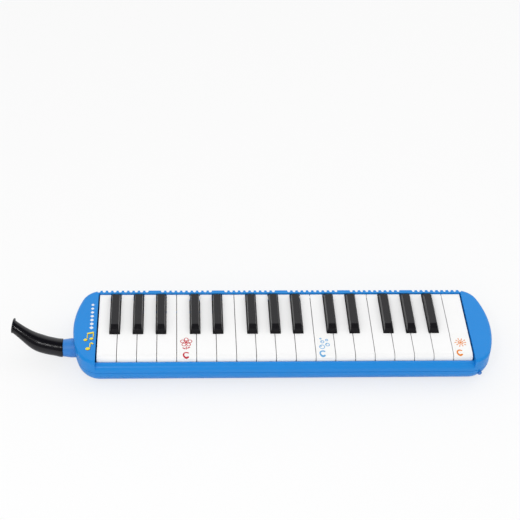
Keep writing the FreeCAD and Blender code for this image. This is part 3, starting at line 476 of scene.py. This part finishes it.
def flat_disc(x, y, half_x, half_y, turn=0.0):
    """Flat disc or ellipse above the print's place, in mm."""
    bpy.ops.object.select_all(action="DESELECT")
    bpy.ops.mesh.primitive_circle_add(vertices=DISC_CORNERS, radius=1, fill_type="NGON",
                                      location=(x * MM, y * MM, ABOVE), rotation=(0, 0, turn))
    disc = bpy.context.object
    disc.scale = (half_x * MM, half_y * MM, 1)
    return disc


def flat_bar(x, y, width, length, turn=0.0):
    """Flat bar above the print's place, in mm, with its corners cut off."""
    bpy.ops.object.select_all(action="DESELECT")
    bpy.ops.mesh.primitive_plane_add(size=1, location=(x * MM, y * MM, ABOVE), rotation=(0, 0, turn))
    bar = bpy.context.object
    bar.scale = (width * MM, length * MM, 1)
    bpy.ops.object.transform_apply(location=False, rotation=False, scale=True)
    bpy.ops.object.mode_set(mode="EDIT")
    bpy.ops.mesh.select_all(action="SELECT")
    bpy.ops.mesh.bevel(offset=CUT_SHARE * min(width, length) * MM, affect="VERTICES")
    bpy.ops.object.mode_set(mode="OBJECT")
    return bar


def flat_ring(x, y, radius, stroke, bands=1, stretch=1.0):
    """Flat ring above the print's place, in mm, as bands of faces that can follow a curved key."""
    bpy.ops.object.select_all(action="DESELECT")
    bpy.ops.mesh.primitive_circle_add(vertices=RING_CORNERS, radius=radius * MM, fill_type="NGON",
                                      location=(x * MM, y * MM, ABOVE))
    ring = bpy.context.object
    bpy.ops.object.mode_set(mode="EDIT")
    bpy.ops.mesh.select_all(action="SELECT")
    for _ in range(bands):
        bpy.ops.mesh.inset(thickness=stroke / bands * MM)
    bpy.ops.mesh.delete(type="FACE")
    bpy.ops.object.mode_set(mode="OBJECT")
    ring.scale = (1, stretch, 1)
    return ring


print("corners of a disc and a ring:", DISC_CORNERS, RING_CORNERS)

# %% [markdown]
# ### From flat shapes to a film of ink
# One helper joins the shapes of a drawing, projects them straight down onto their surface and thickens
# them. The film starts a few hundredths of a millimetre above the surface, because two faces at one height
# would fight for the same place, and a second colour on top starts higher still.

# %% The printing helper
INK_THICKNESS = 0.04 * MM
PRINT_RISE = 0.02


def printed(name, shapes, surface, material, body, rise_mm=PRINT_RISE):
    """Joins flat shapes, drops them onto a CAD node and gives them the ink's thickness."""
    bpy.ops.object.select_all(action="DESELECT")
    for shape in shapes:
        shape.select_set(True)
    bpy.context.view_layer.objects.active = shapes[0]
    if len(shapes) > 1:
        bpy.ops.object.join()
    piece = bpy.context.object
    piece.name = name
    piece.data.name = name
    bpy.ops.object.transform_apply(location=True, rotation=True, scale=True)
    drop = piece.modifiers.new("drop", "SHRINKWRAP")
    drop.target = nodes[surface]
    drop.wrap_method = "PROJECT"
    drop.use_project_z = True
    drop.use_negative_direction = True
    drop.use_positive_direction = False
    drop.offset = rise_mm * MM
    coat = piece.modifiers.new("coat", "SOLIDIFY")
    coat.thickness = INK_THICKNESS
    coat.offset = 1.0
    bpy.ops.object.modifier_apply(modifier="drop")
    bpy.ops.object.modifier_apply(modifier="coat")
    bpy.ops.object.mode_set(mode="EDIT")
    bpy.ops.mesh.select_all(action="SELECT")
    bpy.ops.mesh.normals_make_consistent(inside=False)
    bpy.ops.object.mode_set(mode="OBJECT")
    piece.data.materials.clear()
    piece.data.materials.append(material)
    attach(piece, body)
    print(name, "with", len(piece.data.polygons), "faces")
    return piece


middles = {}
for sticker in STICKERS:
    sticker_low, sticker_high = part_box(sticker)
    middles[sticker] = (sticker_low[0] + sticker_high[0]) / 2 / MM
print("sticker middles in mm:", [round(x, 1) for x in middles.values()])

# %% [markdown]
# ### The letter C
# The note letter is a bold ring with a gap on its right. It lies partly on the rounded front of its key,
# so the ring is made of three narrow bands, each short enough to follow the curve. Each sticker has a print
# of its own, so each letter has its own place beside the picture.

# %% Letters
LETTER_RADIUS = 3.6
LETTER_STROKE = 1.5
LETTER_BANDS = 3
LETTER_RISE = 0.03
GAP_HALF_ANGLE = math.radians(42)
# Each sticker's letter: its name, its shift from the middle, its y, its stretch and its ink.
LETTERS = {"note_sticker_c4": ("letter_c4", -0.3, -39.3, 0.95, red_ink),
           "note_sticker_c5": ("letter_c5", -2.8, -38.3, 1.05, blue_ink),
           "note_sticker_c6": ("letter_c6", -3.0, -38.0, 1.05, orange_ink)}


def letter_c(name, x, y, stretch, sticker, material):
    """Letter C, printed on a sticker."""
    ring = flat_ring(x, y, LETTER_RADIUS, LETTER_STROKE, LETTER_BANDS, stretch)
    bpy.ops.object.mode_set(mode="EDIT")
    bpy.ops.mesh.select_all(action="DESELECT")
    bpy.ops.object.mode_set(mode="OBJECT")
    for face in ring.data.polygons:
        if abs(math.atan2(face.center.y, face.center.x)) < GAP_HALF_ANGLE:
            face.select = True
    bpy.ops.object.mode_set(mode="EDIT")
    bpy.ops.mesh.delete(type="FACE")
    bpy.ops.object.mode_set(mode="OBJECT")
    letter = printed(name, [ring], sticker, material, STICKERS[sticker], LETTER_RISE)


for sticker, (name, shift, y, stretch, colour) in LETTERS.items():
    letter_c(name, middles[sticker] + shift, y, stretch, sticker, colour)

# %% [markdown]
# ### Sticker pictures
# Above each letter stands a small cheerful picture of a plain kind. The first is a flower: five outlined
# petals are set round a dot by a loop, and a bar and two tilted ellipses are its stem and leaves.

# %% Flower
OUTLINE = 0.75
PETALS = 5
PETAL_RADIUS = 2.3
PETAL_REACH = 3.9
FLOWER_DOT = 1.4
STEM_DROP = 7.8
STEM_WIDTH = 0.9
STEM_LENGTH = 4.0
LEAF_REACH = 2.3
LEFT_LEAF_DROP = 8.3
RIGHT_LEAF_DROP = 7.5
LEAF_HALF_LENGTH = 1.8
LEAF_HALF_WIDTH = 0.7
LEAF_TILT = 0.6


def flower(x, y):
    """Five outlined petals round a dot, over a stem with two leaves."""
    shapes = [flat_disc(x, y, FLOWER_DOT, FLOWER_DOT)]
    for number in range(PETALS):
        angle = math.tau * number / PETALS + math.pi / 2
        shapes.append(flat_ring(x + PETAL_REACH * math.cos(angle), y + PETAL_REACH * math.sin(angle),
                                PETAL_RADIUS, OUTLINE))
    shapes.append(flat_bar(x, y - STEM_DROP, STEM_WIDTH, STEM_LENGTH))
    for side, drop in ((-1, LEFT_LEAF_DROP), (1, RIGHT_LEAF_DROP)):
        shapes.append(flat_disc(x + LEAF_REACH * side, y - drop,
                                LEAF_HALF_LENGTH, LEAF_HALF_WIDTH, LEAF_TILT * side))
    return shapes


print("petals:", PETALS)

# %% [markdown]
# The second picture is a drift of bubbles, from large to small. Each is a ring with a tilted glint inside,
# placed up and to the left of its middle by a share of its own radius.

# %% Bubbles
# Each bubble's place, right and up from the picture's middle, and its radius.
BUBBLES = ((-2.6, -3.6, 2.9), (3.0, -0.6, 2.3), (-1.9, 3.3, 2.0), (2.6, 5.6, 1.5), (-3.4, 7.6, 1.1))
# A glint's place and half sizes are shares of its bubble's radius.
GLINT_LEFT = 0.35
GLINT_UP = 0.3
GLINT_HALF_LENGTH = 0.3
GLINT_HALF_WIDTH = 0.2
GLINT_TILT = 0.8


def bubbles(x, y):
    """Rings of several sizes with a glint in each."""
    shapes = []
    for dx, dy, radius in BUBBLES:
        shapes.append(flat_ring(x + dx, y + dy, radius, OUTLINE))
        shapes.append(flat_disc(x + dx - GLINT_LEFT * radius, y + dy + GLINT_UP * radius,
                                GLINT_HALF_LENGTH * radius, GLINT_HALF_WIDTH * radius, GLINT_TILT))
    return shapes


print("bubbles:", len(BUBBLES))

# %% [markdown]
# The third picture is a sun: an outlined disc with a dot in it, and ten short rays, of which every other
# one stands a little further out.

# %% Sun
SUN_RADIUS = 2.9
SUN_OUTLINE = 0.9
SUN_DOT = 1.3
RAYS = 10
RAY_REACH = 4.6
RAY_STAGGER = 0.5
RAY_LENGTH = 2.1
RAY_WIDTH = 1.0


def sun(x, y):
    """Outlined disc with a dot and ten rays."""
    shapes = [flat_ring(x, y, SUN_RADIUS, SUN_OUTLINE), flat_disc(x, y, SUN_DOT, SUN_DOT)]
    for number in range(RAYS):
        angle = math.tau * number / RAYS
        reach = RAY_REACH + RAY_STAGGER * (number % 2)
        shapes.append(flat_bar(x + reach * math.cos(angle), y + reach * math.sin(angle),
                               RAY_LENGTH, RAY_WIDTH, angle))
    return shapes


print("rays:", RAYS)

# %% [markdown]
# Each picture is printed in the ink of its letter, a little to the left of the sticker's middle.

# %% Pictures onto the stickers
PICTURE_SHIFT = -0.4
# Each sticker's picture: how it is drawn, its y, its ink and its name.
PICTURES = {"note_sticker_c4": (flower, -22.5, red_ink, "picture_flower"),
            "note_sticker_c5": (bubbles, -26.0, blue_ink, "picture_bubbles"),
            "note_sticker_c6": (sun, -24.5, orange_ink, "picture_sun")}

for sticker, (draw, middle_y, colour, name) in PICTURES.items():
    shapes = draw(middles[sticker] + PICTURE_SHIFT, middle_y)
    picture = printed(name, shapes, sticker, colour, STICKERS[sticker])

# %% [markdown]
# ### Music notes on the left end
# The left end of the case is decorated with yellow music notes over a brown shade. The shade is the same
# drawing, a little wider and shifted to the right and down, and it is printed first.

# %% Music notes
CASE_BODY = "melodica_body"
CASE_MARK_X = -193.4
PAIR_Y = -15.0
SINGLE_Y = -28.0
PAIR_HALF = 2.9
PAIR_LIFT = 0.8
# Half length and half width of a head, then width and length of a stem, and of a beam or flag.
PAIR_HEAD, PAIR_STEM, PAIR_BEAM = (1.9, 1.5), (0.8, 5.2), (6.8, 1.9)
SINGLE_HEAD, SINGLE_STEM, SINGLE_FLAG = (2.3, 1.8), (0.9, 5.6), (3.0, 1.5)
HEAD_TILT = 0.35
BEAM_TILT = 0.27
FLAG_TILT = -0.7
SHADE_GROW = 0.2
SHADE_RISE = 0.01
NOTES_RISE = 0.06


def head(x, y, half_sizes, grow):
    """A tilted note head."""
    return flat_disc(x, y, half_sizes[0] + grow, half_sizes[1] + grow, HEAD_TILT)


def stem(x, y, sizes, grow):
    """An upright stem; grow makes it wider and a little shorter."""
    return flat_bar(x, y, sizes[0] + grow, sizes[1] - grow)


def stroke(x, y, sizes, grow, tilt):
    """A tilted beam or flag."""
    return flat_bar(x, y, sizes[0] + grow, sizes[1] + grow / 2, tilt)


def note_pair(x, y, grow):
    """Two note heads with stems and a beam; grow widens every stroke, in mm."""
    shapes = []
    for side in (-1, 1):
        head_x = x + PAIR_HALF * side
        lift = PAIR_LIFT * side
        shapes.append(head(head_x - 1.3, y - 3.8 + lift, PAIR_HEAD, grow))
        shapes.append(stem(head_x + 0.35, y + 0.9 + lift, PAIR_STEM, grow))
    shapes.append(stroke(x + 0.35, y + 4.7, PAIR_BEAM, grow, BEAM_TILT))
    return shapes


def single_note(x, y, grow):
    """One note head with a stem and a flag; grow widens every stroke, in mm."""
    return [head(x - 1.4, y - 3.6, SINGLE_HEAD, grow),
            stem(x + 0.6, y + 1.2, SINGLE_STEM, grow),
            stroke(x + 2.4, y + 3.6, SINGLE_FLAG, grow, FLAG_TILT)]


def all_notes(shift_x=0.0, shift_y=0.0, grow=0.0):
    """The pair over the single note, shifted and widened by so many mm."""
    x = CASE_MARK_X + shift_x
    return note_pair(x, PAIR_Y + shift_y, grow) + single_note(x, SINGLE_Y + shift_y, grow)


shade_shapes = all_notes(shift_x=0.4, shift_y=-0.5, grow=SHADE_GROW)
shade = printed("case_notes_shade", shade_shapes, "upper_case", brown_ink, CASE_BODY, SHADE_RISE)
notes = printed("case_notes", all_notes(), "upper_case", yellow_ink, CASE_BODY, NOTES_RISE)

# %% [markdown]
# ### Diamonds on the left end
# A column of small white diamonds runs from the notes towards the back, and each is a little smaller than
# the one before it. A diamond is a square bar on its corner.

# %% Diamonds
DIAMONDS = 7
DIAMONDS_X = CASE_MARK_X + 1.0
DIAMONDS_Y = -3.0
DIAMOND_STEP = 5.4
DIAMOND_SIZE = 3.3
DIAMOND_SHRINK = 0.12

diamonds = []
for number in range(DIAMONDS):
    size = DIAMOND_SIZE - DIAMOND_SHRINK * number
    diamonds.append(flat_bar(DIAMONDS_X, DIAMONDS_Y + DIAMOND_STEP * number, size, size, math.radians(45)))
column = printed("case_diamonds", diamonds, "upper_case", white_ink, CASE_BODY)

# %% [markdown]
# ## Floor
# The floor is matt white card. What the camera sees is three parts card and seven parts plain white glow, as
# a bright sweep looks, so the object's shadow stays but is soft. Everything else sees the card itself.

# %% Floor
FLOOR_SIZE = 8
GLOW_SHARE = 0.7

bpy.ops.object.select_all(action="DESELECT")
bpy.ops.mesh.primitive_plane_add(size=FLOOR_SIZE, location=(0, 0, 0))
floor = bpy.context.object
floor.name = "floor"
card = start_material("matt_white_card", "#F4F4F4", roughness=0.9, ior=1.45)
card_tree = card.node_tree
glow = add(card_tree, "Emission", Color=linear("#FFFFFF"), Strength=1.0)
seen = add(card_tree, "LightPath").outputs["Is Camera Ray"]
share = add(card_tree, "Math", {0: seen}, operation="MULTIPLY")
share.inputs[1].default_value = GLOW_SHARE
card_face = card_tree.nodes["Principled BSDF"].outputs["BSDF"]
sweep = add(card_tree, "MixShader", {0: share.outputs[0], 1: card_face, 2: glow.outputs["Emission"]})
card_tree.links.new(sweep.outputs["Shader"], card_tree.nodes["Material Output"].inputs["Surface"])
floor.data.materials.append(card)
print("floor at z =", floor.location.z)
